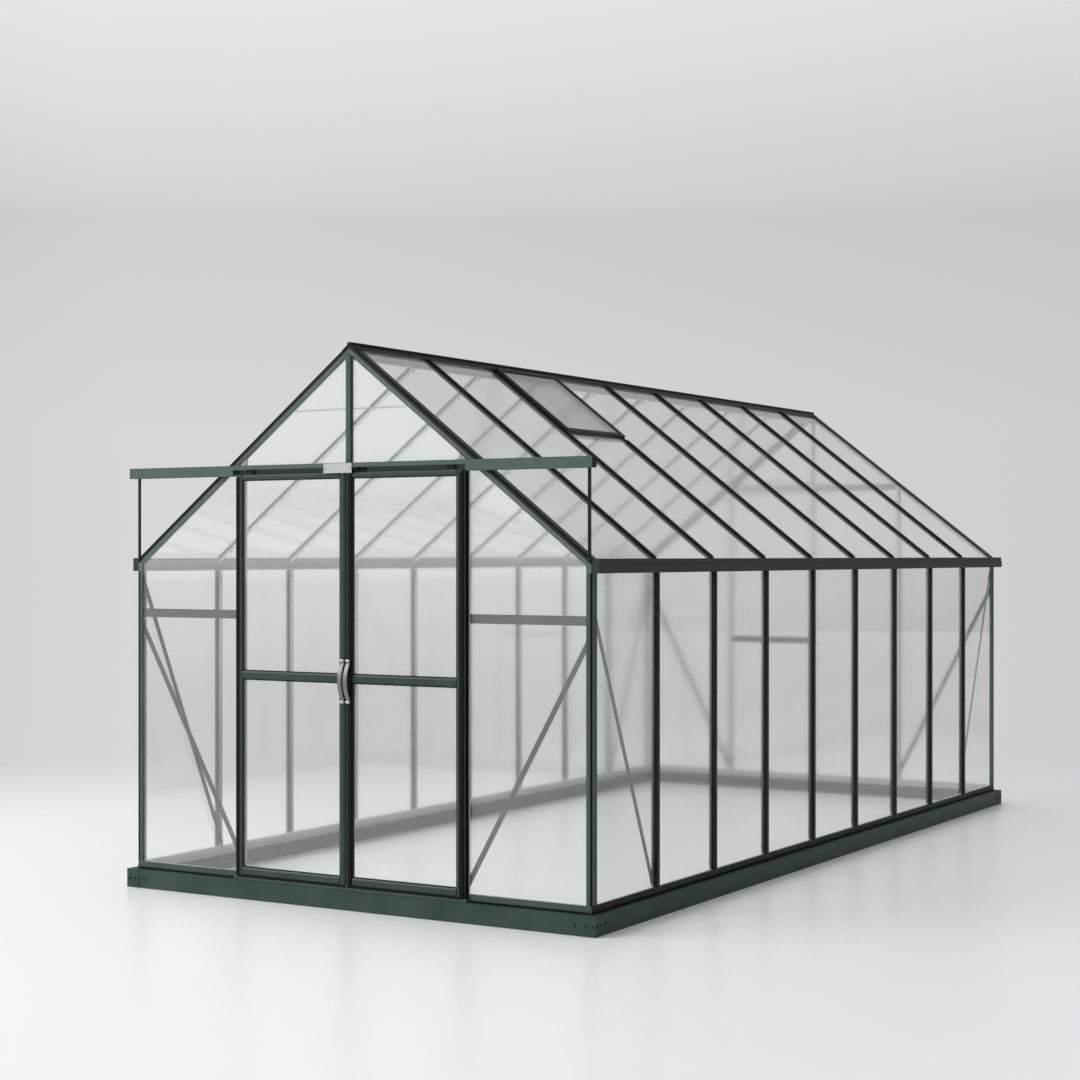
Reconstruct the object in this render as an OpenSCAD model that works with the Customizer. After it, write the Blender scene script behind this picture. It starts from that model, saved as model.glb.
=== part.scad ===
// Glass greenhouse with double sliding doors, in millimetres.
// X runs along the door gable, Y from the door gable to the back, Z up from the ground.

/* [Overall] */
// Width of the house over the outer faces of the side glass
wall_w = 2540; // [2300:10:2900]
// Distance between glazing bars along the sides
bay_pitch = 615; // [500:5:750]
// Number of bays along each side
side_bays = 9; // [6:1:12]
// Height of the gutter's outer lip above the ground
eave_h = 1626; // [1550:2:1720]
// Pitch of the roof in degrees
roof_pitch = 38; // [37:0.5:44]

/* [Base] */
// Height of the base plinth
base_h = 90; // [60:1:150]
// Projection of the plinth beyond the glass
base_out = 44; // [40:1:60]
// Sheet thickness of the plinth
base_t = 3; // [2:0.5:5]
// Width of the plinth's top flange
base_flange = 84; // [80:1:110]
// Width of the plinth's foot
base_foot = 54; // [40:1:80]
// Length of each leg of a base corner cover
base_corner = 75; // [50:1:110]
// Thickness of a base corner cover
base_corner_t = 2; // [1.5:0.5:4]
// Distance of the side splice behind the middle of the house
splice_y = 960; // [500:10:1500]
// Length of a splice plate
splice_len = 220; // [150:5:300]
// Gap between two lengths of side plinth
splice_gap = 1.5; // [1:0.5:3]

/* [Sill] */
// Height of the sill on the plinth
sill_h = 35; // [28:1:50]
// Projection of the sill's nose beyond the glass
sill_nose = 8; // [7:0.5:8]
// Height of the nose below its slope
sill_nose_h = 18; // [12:1:22]
// Wall thickness of the sill
sill_t = 2.5; // [2:0.5:4]

/* [Glazing bars] */
// Thickness of the glass
glass_t = 4; // [3:0.5:4]
// Width of a bar's outer cap
bar_face = 28; // [24:1:40]
// Thickness of the flat caps and of the solid foot of the hollow caps
cap_t = 6; // [5:0.5:6]
// Bevel on the edges of a cap
cap_bevel = 3; // [1:0.5:4]
// Height of the hollow caps of the walls and of the gables' bars
hollow_cap_h = 18; // [14:1:22]
// Wall thickness of a hollow cap
hollow_cap_t = 3; // [2.5:0.5:4]
// Thickness of a bar's web
bar_web = 5; // [3:0.5:6]
// Depth of a bar inwards from the outer face of the glass
bar_depth = 18; // [17:0.5:24]
// Width of the bead on the inner edge of a bar
bar_bead = 16; // [12:1:20]
// Thickness of the bead on the inner edge of a bar
bead_t = 4; // [3:0.5:4]
// Width of a corner post's or rafter's lap on the gable glass
corner_front = 20; // [16:1:34]
// Width of a corner post's or rafter's lap on the side or roof glass
corner_side = 46; // [30:1:60]
// Width of the sloping lip along the inner edge of a rafter's lap on the gable
rafter_lip = 14; // [8:1:16]
// Thickness of that lip at its edge
rafter_lip_t = 1.5; // [1:0.5:4]
// Thickness of a corner section's core
corner_core = 6; // [5:0.5:8]
// Thickness of a corner section's inner legs
corner_leg_t = 3; // [2:0.5:4]
// Width and depth of the groove along a corner's arris
corner_groove = 5; // [3:0.5:5]
// Play between a pane and the sections at its sides
pane_play = 1.5; // [1:0.5:3]
// Play between a pane and what it rests on
seat_play = 0.1; // [0.1:0.1:0.5]

/* [Eaves and ridge] */
// Width of the gutter beyond the glass
gutter_w = 44; // [36:1:60]
// Height of the gutter
gutter_h = 64; // [50:1:80]
// Wall thickness of the gutter
gutter_t = 3; // [2:0.5:4]
// Width of the gutter's inner foot on the wall bars
gutter_foot = 30; // [20:1:40]
// Height of the gutter's set back lip
gutter_lip = 24; // [15:1:30]
// Set back of the gutter's lip
gutter_set = 4; // [2:0.5:6]
// Length of the gutter's outlet stub past the back glass
gutter_tail = 66; // [50:1:120]
// Drop from the gutter's lip to the roof glass above the wall
eave_drop = 6; // [2:1:12]
// Overhang of the roof glass into the gutter
glass_drip = 12; // [6:1:20]
// Thickness of the ridge's web
ridge_web = 6; // [4:0.5:8]
// Depth of the ridge's web below the ridge line
ridge_depth = 62; // [56:1:80]
// Width of the ridge's foot
ridge_foot_w = 24; // [16:1:30]
// Thickness of the ridge's foot
ridge_foot_t = 4; // [3:0.5:6]
// Width of each ridge wing down the slope
ridge_wing = 40; // [34:1:60]
// Thickness of a ridge wing
ridge_t = 3; // [2:0.5:4]
// Width of the crown along the ridge
ridge_crown = 20; // [14:1:26]
// Height of the crown above the ridge line
ridge_crown_h = 16; // [14:1:24]
// Projection of the ridge beyond each gable
ridge_out = 8; // [7:1:40]

/* [Roof vent] */
// Bay that holds the roof vent, counted from the door gable
vent_bay = 3; // [2:1:5]
// Length of the vent down the slope
vent_len = 545; // [400:5:700]
// Width of the vent's frame sections
vent_rail = 30; // [24:1:40]
// Thickness of the vent's frame
vent_t = 16; // [14:1:24]
// Depth of the rebate that holds the vent's glass
vent_rebate = 6; // [4:1:10]
// Depth of the cross bar under the vent
vent_sill_d = 13; // [10:0.5:13]

/* [Door surround] */
// Distance of each door post from the middle
door_post_x = 628; // [580:1:640]
// Width of a door post's face
door_post_face = 56; // [50:1:70]
// Width of a door seal
seal_w = 16; // [10:1:20]
// Thickness of a door seal
seal_t = 2; // [1:0.5:2]
// Height of the threshold plate
threshold_h = 10; // [6:1:12]
// Height of the underside of the door track
track_z = 2018; // [1990:1:2022]
// Height of the door track
track_h = 50; // [46:1:54]
// Depth of the door track
track_d = 36; // [36:1:44]
// Sheet thickness of the door track
track_t = 2; // [1.5:0.5:2]
// Length of the door track beyond the side glass
track_over = 28; // [10:1:60]
// Height of the track's band above the doors
track_band = 21; // [16:1:24]
// Height of the roller ledge above the track's underside
ledge_z = 12; // [11:0.5:14]
// Width of the roller ledge
ledge_w = 8; // [7:0.5:9]
// Thickness of a track end cap
end_cap_t = 4; // [2:0.5:6]
// Width of a track stay
stay_w = 16; // [10:1:20]
// Thickness of a track stay
stay_t = 4; // [3:0.5:5]
// Width of the bare plate on the track
plate_w = 160; // [100:5:200]
// Height of the bare plate on the track
plate_h = 45; // [30:1:48]
// Thickness of the bare plate on the track
plate_t = 2; // [1:0.5:3]
// Distance of the bare plate's middle from the middle of the gable
plate_x = -40; // [-80:5:80]

/* [Doors] */
// Clearance between a door leaf and what it passes
door_clear = 5; // [5:0.5:5.5]
// Clearance between a leaf's top and the roller ledge
door_head = 6; // [5:0.5:8]
// Gap between the two closed leaves
door_gap = 8; // [5:0.5:10]
// Thickness of a door leaf
door_t = 22; // [18:1:22]
// Overlap of a closed leaf on its door post
door_lap = 36; // [20:1:38]
// Width of a door stile
stile_w = 33; // [28:1:40]
// Width of the bevels on the front edges of the stiles and rails
door_bevel_w = 9; // [4:1:9]
// Depth of the bevels on the front edges of the stiles and rails
door_bevel_d = 5; // [3:0.5:6]
// Height of a door's top rail
door_top_h = 26; // [20:1:40]
// Height of a door's middle rail
door_mid_h = 40; // [30:1:50]
// Height of the middle rail's underside
door_mid_z = 1050; // [900:5:1100]
// Height of a door's bottom rail
door_bottom_h = 40; // [30:1:60]
// Height of a door's underside above the plinth
door_lift = 22; // [21:1:30]
// Depth of the groove that holds a door's glass
door_groove = 10; // [6:1:14]
// Play between the faces of a door's glass and its groove
groove_play = 0.3; // [0.2:0.1:0.5]
// Play between the edge of a door's glass and the bottom of its groove
groove_end = 2; // [1:0.5:4]
// Diameter of a door roller
roller_d = 20; // [16:1:22]
// Width of a door roller
roller_w = 6; // [5:0.5:6]
// Play between a roller and its ledge
roller_play = 0.3; // [0.2:0.1:0.5]
// Distance of a roller from the leaf's side
roller_in = 70; // [50:5:150]
// Width of a roller's hanger
hanger_w = 40; // [30:1:60]
// Thickness of a roller's hanger
hanger_t = 3; // [2:0.5:4]
// Diameter of a roller's pin
roller_pin = 6; // [4:0.5:8]
// Height of a hanger above its pin
hanger_rise = 5; // [5:0.5:8]
// Length of a guide shoe along the door
shoe_len = 30; // [20:1:36]
// Thickness of a guide shoe
shoe_t = 8; // [6:1:10]
// Play between a guide shoe and the sides of its channel
shoe_play = 2; // [1:0.5:3]
// Height of the guide channel on the plinth
guide_h = 16; // [12:1:16]
// Wall thickness of the guide channel
guide_t = 2.5; // [2:0.5:3]

/* [Handles] */
// Width of a handle's strap
handle_w = 20; // [14:1:22]
// Thickness of a handle's strap
handle_t = 5; // [4:0.5:6]
// Distance between the middles of a handle's feet
handle_span = 174; // [140:2:240]
// Height of a handle's middle
handle_z = 1057; // [950:1:1150]
// Distance of a handle's middle from the meeting edge of its leaf
handle_in = 12; // [11:0.5:18]
// Depth of the space under a handle's bow
handle_reach = 26; // [22:1:30]
// Length of a handle's foot
handle_foot = 20; // [14:1:30]
// Thickness of a handle's foot
handle_foot_t = 4; // [2:0.5:5]

/* [Rails and braces] */
// Height of a gable's inner rails
rail_h = 42; // [30:1:50]
// Depth of a gable's inner rails
rail_d = 6; // [4:0.5:6]
// Height of the underside of the front panels' rails
front_rail_z = 1335; // [1200:5:1400]
// Height of the underside of the back gable's upper rail
back_rail_z = 2079; // [1980:1:2080]
// Height of the underside of the back gable's middle rail
back_mid_z = 1030; // [900:5:1200]
// Distance of the back gable's outer bars from the middle
back_bar_x = 620; // [560:5:640]
// Width of a brace
brace_w = 25; // [18:1:32]
// Thickness of a brace
brace_t = 3; // [2:0.5:5]
// Height of a front brace's upper end
front_brace_z = 1290; // [1100:5:1310]
// Height of a side brace's upper end
side_brace_z = 1510; // [1480:5:1520]
// Height of a back brace's upper end
back_brace_z = 1425; // [1300:5:1430]
// Height of a brace's lower end above the sill
brace_foot = 25; // [15:1:60]

/* [Hidden] */
$fn = 48;

frame_green = [0.20, 0.30, 0.25];
bar_green = [0.12, 0.16, 0.14];
seal_black = [0.05, 0.05, 0.05];
chrome = [0.80, 0.80, 0.82];
plate_white = [0.86, 0.87, 0.87];
nylon_grey = [0.55, 0.56, 0.56];
glass_tint = [0.75, 0.85, 0.82, 0.35];

half_w = wall_w / 2;
wall_l = side_bays * bay_pitch;
half_l = wall_l / 2;
far = 4 * (wall_w + wall_l);
sill_top = base_h + sill_h;
gutter_z = eave_h - gutter_h;
eave_line = eave_h - eave_drop;
ridge_line = eave_line + half_w * tan(roof_pitch);
slope_len = half_w / cos(roof_pitch);
glass_seat = glass_t + seat_play;
ridge_foot_z = ridge_line - ridge_depth - ridge_foot_t;
leg_in = glass_t + pane_play / 2;
pane_edge = bar_web / 2 + pane_play;
pane_corner = corner_core + pane_play;
rail_in = leg_in + corner_leg_t;
web_cover = bar_depth + pane_play;
rafter_front = corner_front + rafter_lip;
vent_top = ridge_wing + pane_play;
vent_y0 = -half_l + (vent_bay - 1) * bay_pitch;
vent_sill_x = vent_top + vent_len - vent_rail;

door_back = cap_t + seal_t + door_clear;
door_front = door_back + door_t;
door_mid = door_back + door_t / 2;
door_z0 = base_h + door_lift;
door_z1 = track_z + ledge_z - door_head;
door_lights = [[door_z0 + door_bottom_h, door_mid_z], [door_mid_z + door_mid_h, door_z1 - door_top_h]];
door_x0 = door_gap / 2;
door_x1 = door_post_x - door_post_face / 2 + door_lap;
track_top = track_z + track_h;
track_half = half_w + track_over;
track_front = cap_t + track_d;
ledge_top = track_z + ledge_z + track_t;
roller_z = ledge_top + roller_play + roller_d / 2;
roller_back = cap_t + track_t + (ledge_w - roller_w) / 2;
hanger_back = cap_t + track_t + ledge_w + door_clear;
guide_half = shoe_t / 2 + shoe_play + guide_t;

// Height of the roof glass's outer face at a distance from the ridge, less a cover measured square to it
function roof_z(x, cover = 0) = ridge_line - abs(x) * tan(roof_pitch) - cover / cos(roof_pitch);

// Distance along a side of the glazing bar with this number
function bar_y(i) = -half_l + i * bay_pitch;

// Section of a glazing bar's cap: X along the wall, Y outwards from the glass
module cap_section(face = bar_face, rise = cap_t) {
    polygon([[-face / 2, 0], [-face / 2, rise - cap_bevel], [-face / 2 + cap_bevel, rise],
        [face / 2 - cap_bevel, rise], [face / 2, rise - cap_bevel], [face / 2, 0]]);
}

// Section of a hollow cap on its solid foot
module hollow_cap_section() {
    difference() {
        cap_section(bar_face, hollow_cap_h);
        translate([hollow_cap_t - bar_face / 2, cap_t])
            square([bar_face - 2 * hollow_cap_t, hollow_cap_h - hollow_cap_t - cap_t]);
    }
}

// Section of a glazing bar's web and inner bead
module web_section() {
    translate([-bar_web / 2, -bar_depth]) square([bar_web, bar_depth]);
    translate([-bar_bead / 2, -bar_depth]) square([bar_bead, bead_t]);
}

// Outer faces of a corner post or rafter, with their laps on the two glazed faces along X and Y
// and a sloping lip at the end of the second one
module corner_shell_section(lap_x, lap_y, lip) {
    difference() {
        union() {
            translate([-cap_t, -cap_t]) square([cap_t + lap_x, cap_t]);
            polygon([[-cap_t, -cap_t], [0, -cap_t], [0, lap_y], [-rafter_lip_t, lap_y],
                [-cap_t, lap_y - lip]]);
        }
        translate([-cap_t, -cap_t]) square(corner_groove);
    }
}

// Core and inner legs of a corner post or rafter
module corner_core_section() {
    square(corner_core);
    translate([leg_in, leg_in]) square([bar_depth - leg_in, corner_leg_t]);
    translate([leg_in, leg_in]) square([corner_leg_t, bar_depth - leg_in]);
}

// Upright bar on the right wall
module right_bar(y, z0, z1) {
    translate([half_w, y, z0]) rotate([0, 0, -90]) linear_extrude(z1 - z0) union() {
        hollow_cap_section();
        web_section();
    }
}

// A section run upright on the front gable
module front_run(x, z0, z1) {
    translate([x, -half_l, z0]) rotate([0, 0, 180]) linear_extrude(z1 - z0) children();
}

// Bar on the back gable, its cap cut along the rafters and its web ending below them
module back_bar(x, web_top) {
    union() {
        under_roof(rafter_front)
            translate([x, half_l, sill_top]) linear_extrude(ridge_line) hollow_cap_section();
        under_roof(web_cover)
            translate([x, half_l, sill_top]) linear_extrude(web_top - sill_top) web_section();
    }
}

// The children and their mirror image across the ridge
module both_sides() {
    children();
    mirror([1, 0, 0]) children();
}

// Frame of the right slope: X down the slope from the ridge line, Z outwards from the glass
module right_slope() {
    translate([0, 0, ridge_line]) rotate([0, roof_pitch, 0]) children();
}

// A section run down the right slope from past the ridge line to past the eave
module slope_run() {
    right_slope() translate([-ridge_wing, 0, 0]) rotate([90, 0, 90])
        linear_extrude(slope_len + 2 * ridge_wing) children();
}

// The part of the children between two upright planes square to X
module between_x(x0, x1) {
    intersection() {
        children();
        translate([x0, -far / 2, -far / 2]) cube([x1 - x0, far, far]);
    }
}

// Gable outline under the roof glass, less a cover measured square to the slope
module gable_area(cover) {
    polygon([[-half_w, 0], [half_w, 0], [half_w, roof_z(half_w, cover)], [0, roof_z(0, cover)],
        [-half_w, roof_z(half_w, cover)]]);
}

// The part of the children under the roof line less a cover
module under_roof(cover) {
    intersection() {
        children();
        rotate([90, 0, 0]) linear_extrude(far, center = true) gable_area(cover);
    }
}

// A pane in a gable with its face towards the door gable at y0
module gable_pane(x0, x1, z0, y0) {
    translate([0, y0 + glass_t, 0]) rotate([90, 0, 0]) linear_extrude(glass_t) intersection() {
        difference() {
            gable_area(pane_corner);
            translate([-ridge_foot_w / 2 - pane_play, ridge_foot_z - pane_play])
                square([ridge_foot_w + 2 * pane_play, ridge_depth]);
        }
        translate([x0, z0]) square([x1 - x0, ridge_line]);
    }
}

// A section run along the front edge at a reach beyond the glass, mitred at both corners:
// section X is outwards from the glass, Y is up
module mitred_end(reach, depth) {
    intersection() {
        translate([-half_w - reach, -half_l, 0]) rotate([90, 0, 90])
            linear_extrude(wall_w + 2 * reach) mirror([1, 0]) children();
        linear_extrude(ridge_line) polygon([[-half_w - reach, -half_l - reach],
            [half_w + reach, -half_l - reach], [half_w + reach - depth, -half_l - reach + depth],
            [-half_w - reach + depth, -half_l - reach + depth]]);
    }
}

// A section run along the right edge at a reach beyond the glass, mitred at both corners
module mitred_side(reach, depth) {
    intersection() {
        translate([half_w, half_l + reach, 0]) rotate([90, 0, 0])
            linear_extrude(wall_l + 2 * reach) children();
        linear_extrude(ridge_line) polygon([[half_w + reach, -half_l - reach],
            [half_w + reach, half_l + reach], [half_w + reach - depth, half_l + reach - depth],
            [half_w + reach - depth, -half_l - reach + depth]]);
    }
}

// Folded channel of the plinth, open to the inside
module base_section() {
    translate([base_out - base_t, 0]) square([base_t, base_h]);
    translate([base_out - base_flange, base_h - base_t]) square([base_flange, base_t]);
    translate([base_out - base_foot, 0]) square([base_foot, base_t]);
}

// Hollow sill with a weathered nose
module sill_section() {
    difference() {
        polygon([[-bar_depth, base_h], [sill_nose, base_h], [sill_nose, base_h + sill_nose_h],
            [cap_t, sill_top], [-bar_depth, sill_top]]);
        polygon([[sill_t - bar_depth, base_h + sill_t], [sill_nose - sill_t, base_h + sill_t],
            [sill_nose - sill_t, base_h + sill_nose_h], [cap_t - sill_t, sill_top - sill_t],
            [sill_t - bar_depth, sill_top - sill_t]]);
    }
}

// A flat brace in the plane of X and Z, its back face at Y 0, from a bar's bead up to a corner post,
// with both ends cut upright along what they meet
module brace(x0, z0, x1, z1) {
    run = norm([x1 - x0, z1 - z0]);
    way = sign(x1 - x0);
    foot = x0 - way * bar_bead / 2;
    top = x1 + way * corner_leg_t / 2;
    intersection() {
        translate([x0, 0, z0]) rotate([0, -atan2(z1 - z0, x1 - x0), 0])
            translate([-brace_w, 0, -brace_w / 2]) cube([run + 2 * brace_w, brace_t, brace_w]);
        translate([min(foot, top), -brace_t, 0]) cube([abs(top - foot), 3 * brace_t, ridge_line]);
    }
}

// Plinth channels under the two gables
module base_ends() {
    color(frame_green) {
        mitred_end(base_out, base_flange) base_section();
        mirror([0, 1, 0]) mitred_end(base_out, base_flange) base_section();
    }
}

// Plinth channels under the sides, each in two lengths
module base_sides() {
    color(frame_green) both_sides() difference() {
        mitred_side(base_out, base_flange) base_section();
        translate([0, splice_y - splice_gap / 2, -base_h]) cube([wall_w, splice_gap, 3 * base_h]);
    }
}

// Covers lapped round the four corners of the plinth
module base_corners() {
    color(frame_green) both_sides() for (end = [0, 1]) mirror([0, end, 0])
        translate([half_w + base_out, -half_l - base_out, 0]) linear_extrude(base_h) {
            translate([0, -base_corner_t]) square([base_corner_t, base_corner + base_corner_t]);
            translate([-base_corner, -base_corner_t])
                square([base_corner + base_corner_t, base_corner_t]);
        }
}

// Plates behind the joints of the side plinths
module base_splices() {
    color(frame_green) both_sides()
        translate([half_w + base_out - 2 * base_t, splice_y - splice_len / 2, base_t])
            cube([base_t, splice_len, base_h - 2 * base_t]);
}

// Sills under the gable glass, cut away for the doorway at the front
module end_sills() {
    color(frame_green) {
        difference() {
            mitred_end(sill_nose, bar_depth + sill_nose) sill_section();
            translate([-door_post_x - door_post_face / 2, -half_l - half_w, 0])
                cube([2 * door_post_x + door_post_face, wall_w, eave_h]);
        }
        mirror([0, 1, 0]) mitred_end(sill_nose, bar_depth + sill_nose) sill_section();
    }
}

// Sills under the side glass
module side_sills() {
    color(frame_green) both_sides() mitred_side(sill_nose, bar_depth + sill_nose) sill_section();
}

// Corner posts from the sill to the gutter
module corner_posts() {
    color(frame_green) both_sides() for (end = [0, 1]) mirror([0, end, 0])
        translate([half_w, -half_l, sill_top]) mirror([1, 0, 0])
            linear_extrude(gutter_z - sill_top) union() {
                corner_shell_section(corner_front, corner_side, 0);
                corner_core_section();
            }
}

// Upright glazing bars of both sides
module wall_bars() {
    color(bar_green) both_sides() for (i = [1:side_bays - 1]) right_bar(bar_y(i), sill_top, gutter_z);
}

// Section of the right gutter: X from the middle of the house, Y up
module gutter_section() {
    lip_x = half_w + gutter_w;
    lip_z = eave_h - gutter_lip;
    polygon([[half_w - gutter_foot, gutter_z], [lip_x, gutter_z], [lip_x, lip_z],
        [lip_x - gutter_set, lip_z], [lip_x - gutter_set, eave_h],
        [lip_x - gutter_set - gutter_t, eave_h], [lip_x - gutter_set - gutter_t, lip_z - gutter_t],
        [lip_x - gutter_t, lip_z - gutter_t], [lip_x - gutter_t, gutter_z + gutter_t],
        [half_w, gutter_z + gutter_t], [half_w, roof_z(half_w, glass_seat)],
        [half_w - gutter_t, roof_z(half_w - gutter_t, glass_seat)],
        [half_w - gutter_t, gutter_z + gutter_t], [half_w - gutter_foot, gutter_z + gutter_t]]);
}

// Gutters that also form the eaves beams, with open stubs past the back gable
module gutters() {
    color(frame_green) both_sides() union() {
        difference() {
            translate([0, half_l + gutter_tail, 0]) rotate([90, 0, 0])
                linear_extrude(wall_l + gutter_tail) gutter_section();
            translate([0, half_l, 0]) cube([half_w + cap_t, wall_l, ridge_line]);
            for (end = [0, 1]) mirror([0, end, 0]) translate([0, -half_l - leg_in, 0])
                cube([half_w - corner_core, 2 * leg_in, ridge_line]);
        }
        translate([half_w + cap_t, half_l, gutter_z])
            cube([gutter_t, gutter_tail, gutter_h - gutter_lip]);
    }
}

// Plates that close the gutters at the door gable
module gutter_ends() {
    color(frame_green) both_sides() translate([half_w + cap_t, -half_l - gutter_t, gutter_z])
        cube([gutter_w - cap_t, gutter_t, gutter_h]);
}

// One front rafter on the right slope, mitred at the apex, with the foot that stands on its corner post
module right_rafter() {
    foot_x = half_w - corner_front;
    difference() {
        union() {
            between_x(seat_play, half_w + cap_t) slope_run() translate([-half_l, 0]) mirror([0, 1])
                corner_shell_section(corner_side, rafter_front, rafter_lip);
            between_x(seat_play, half_w - gutter_t) slope_run()
                translate([-half_l, 0]) mirror([0, 1]) corner_core_section();
            translate([0, -half_l, 0]) rotate([90, 0, 0]) linear_extrude(cap_t)
                polygon([[foot_x, gutter_z], [half_w + cap_t, gutter_z],
                    [half_w + cap_t, roof_z(half_w + cap_t)], [foot_x, roof_z(foot_x)]]);
        }
        translate([-ridge_web / 2, -half_l, 0]) cube([ridge_web, wall_l, 2 * ridge_line]);
    }
}

// Rafters at the edges of both gables
module gable_rafters() {
    color(frame_green) both_sides() for (end = [0, 1]) mirror([0, end, 0]) right_rafter();
}

// Ridge beam with wings over the ends of the roof bars
module ridge_beam() {
    crown_top = ridge_line + ridge_crown_h;
    function crown_z(x) = roof_z(x, -cap_t - ridge_t / 2);
    color(bar_green) rotate([90, 0, 0]) union() {
        linear_extrude(wall_l, center = true) {
            translate([-ridge_web / 2, ridge_foot_z]) square([ridge_web, crown_z(0) - ridge_foot_z]);
            translate([-ridge_foot_w / 2, ridge_foot_z]) square([ridge_foot_w, ridge_foot_t]);
        }
        linear_extrude(wall_l + 2 * ridge_out, center = true) {
            for (side = [0, 1]) mirror([side, 0]) translate([0, ridge_line]) rotate(-roof_pitch)
                translate([-cap_t, cap_t]) square([ridge_wing + cap_t, ridge_t]);
            polygon([[-ridge_crown / 2, crown_z(ridge_crown / 2)], [-ridge_crown / 2, crown_top],
                [ridge_crown / 2, crown_top], [ridge_crown / 2, crown_z(ridge_crown / 2)], [0, crown_z(0)]]);
        }
    }
}

// Glazing bars of both roof slopes, their caps reaching under the ridge wings
module roof_bars() {
    color(bar_green) both_sides() for (i = [1:side_bays - 1]) translate([0, bar_y(i), 0]) union() {
        between_x(ridge_web / 2, half_w + cap_t) slope_run() cap_section();
        between_x(ridge_web / 2, half_w - gutter_t) slope_run() web_section();
    }
}

// Upright bars of the back gable
module back_bars() {
    color(bar_green) {
        back_bar(0, ridge_foot_z);
        both_sides() back_bar(back_bar_x, ridge_line);
    }
}

// Inner rails of the back gable
module back_rails() {
    rail_len = back_bar_x - bar_web;
    color(frame_green) {
        under_roof(web_cover) both_sides() translate([bar_web / 2, half_l - rail_in - rail_d, back_rail_z])
            cube([rail_len, rail_d, rail_h]);
        translate([-bar_web / 2 - rail_len, half_l - rail_in - rail_d, back_mid_z])
            cube([rail_len, rail_d, rail_h]);
    }
}

// Posts at the sides of the doorway
module door_posts() {
    color(frame_green) both_sides() union() {
        under_roof(rafter_front) front_run(door_post_x, base_h, ridge_line) cap_section(door_post_face);
        under_roof(web_cover) front_run(door_post_x, base_h, ridge_line) web_section();
    }
}

// Black seals on the door posts
module door_seals() {
    color(seal_black) both_sides()
        translate([door_post_x + door_post_face / 2 - cap_bevel - seal_w, -half_l - cap_t - seal_t, base_h])
            cube([seal_w, seal_t, track_z - base_h]);
}

// Bar over the doorway that carries the track
module door_lintel() {
    lintel_z = track_z + track_h / 2;
    cap_len = 2 * door_post_x - door_post_face;
    web_len = 2 * door_post_x - bar_web;
    color(frame_green) union() {
        under_roof(rafter_front) translate([-cap_len / 2, -half_l - cap_t, track_z])
            cube([cap_len, cap_t, track_h]);
        under_roof(web_cover) translate([-web_len / 2, -half_l, lintel_z - bar_web / 2])
            cube([web_len, bar_depth - bead_t, bar_web]);
    }
}

// Middle bar of the front gable, from the lintel to the rafters and the ridge
module front_gable_bar() {
    color(frame_green) union() {
        under_roof(rafter_front) front_run(0, track_top, ridge_line) hollow_cap_section();
        front_run(0, track_top, ridge_foot_z) web_section();
    }
}

// Rails across the two fixed front panels
module front_mid_rails() {
    rail_x0 = door_post_x + bar_web / 2;
    rail_x1 = half_w - rail_in;
    color(frame_green) both_sides() translate([rail_x0, -half_l + rail_in, front_rail_z])
        cube([rail_x1 - rail_x0, rail_d, rail_h]);
}

// Flat braces inside the end bays of all four walls
module wall_braces() {
    top_in = rail_in - corner_leg_t / 2;
    foot_z = sill_top + brace_foot;
    color(bar_green) both_sides() {
        translate([0, -half_l + bar_depth, 0])
            brace(door_post_x, foot_z, half_w - top_in, front_brace_z);
        translate([0, half_l - bar_depth - brace_t, 0])
            brace(back_bar_x, foot_z, half_w - top_in, back_brace_z);
        for (end = [0, 1]) mirror([0, end, 0]) translate([half_w - bar_depth, 0, 0]) rotate([0, 0, 90])
            brace(bar_y(1), foot_z, -half_l + top_in, side_brace_z);
    }
}

// Threshold plate and guide channel of the doorway
module door_threshold() {
    plate_half = door_post_x - door_post_face / 2;
    channel_half = door_post_x + door_post_face / 2;
    color(frame_green) {
        translate([-plate_half, -half_l - cap_t, base_h])
            cube([2 * plate_half, cap_t + bar_depth, threshold_h]);
        difference() {
            translate([-channel_half, -half_l - door_mid - guide_half, base_h])
                cube([2 * channel_half, 2 * guide_half, guide_h]);
            translate([-far / 2, -half_l - door_mid - guide_half + guide_t, base_h + guide_t])
                cube([far, 2 * (guide_half - guide_t), guide_h]);
        }
    }
}

// Door track: a channel with a roller ledge, its front cut down to a band over the doorway
module door_track() {
    band_half = door_post_x + door_post_face / 2;
    color(frame_green) difference() {
        translate([-track_half, -half_l, track_z]) rotate([90, 0, 90]) linear_extrude(2 * track_half)
            mirror([1, 0]) union() {
                translate([cap_t, 0]) square([track_t, track_h]);
                translate([cap_t, track_h - track_t]) square([track_d, track_t]);
                translate([track_front - track_t, 0]) square([track_t, track_h]);
                translate([cap_t, ledge_z]) square([track_t + ledge_w, track_t]);
            }
        translate([-band_half, -half_l - track_front - track_t, track_z - track_h])
            cube([2 * band_half, 3 * track_t, 2 * track_h - track_band]);
    }
}

// Caps on the ends of the door track
module track_end_caps() {
    color(seal_black) both_sides() translate([track_half, -half_l - track_front, track_z])
        cube([end_cap_t, track_d, track_h]);
}

// Stays from the ends of the track down to the eaves
module track_stays() {
    stay_x = half_w + cap_t - stay_w / 2;
    foot_z = roof_z(stay_x, corner_front / 2);
    color(bar_green) both_sides() translate([stay_x - stay_w / 2, -half_l - cap_t - stay_t, foot_z])
        cube([stay_w, stay_t, track_z - foot_z]);
}

// Bare plate on the band over the doors
module header_plate() {
    color(plate_white) translate([plate_x - plate_w / 2, -half_l - track_front - plate_t,
            track_top - track_t - plate_h])
        cube([plate_w, plate_t, plate_h]);
}

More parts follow.
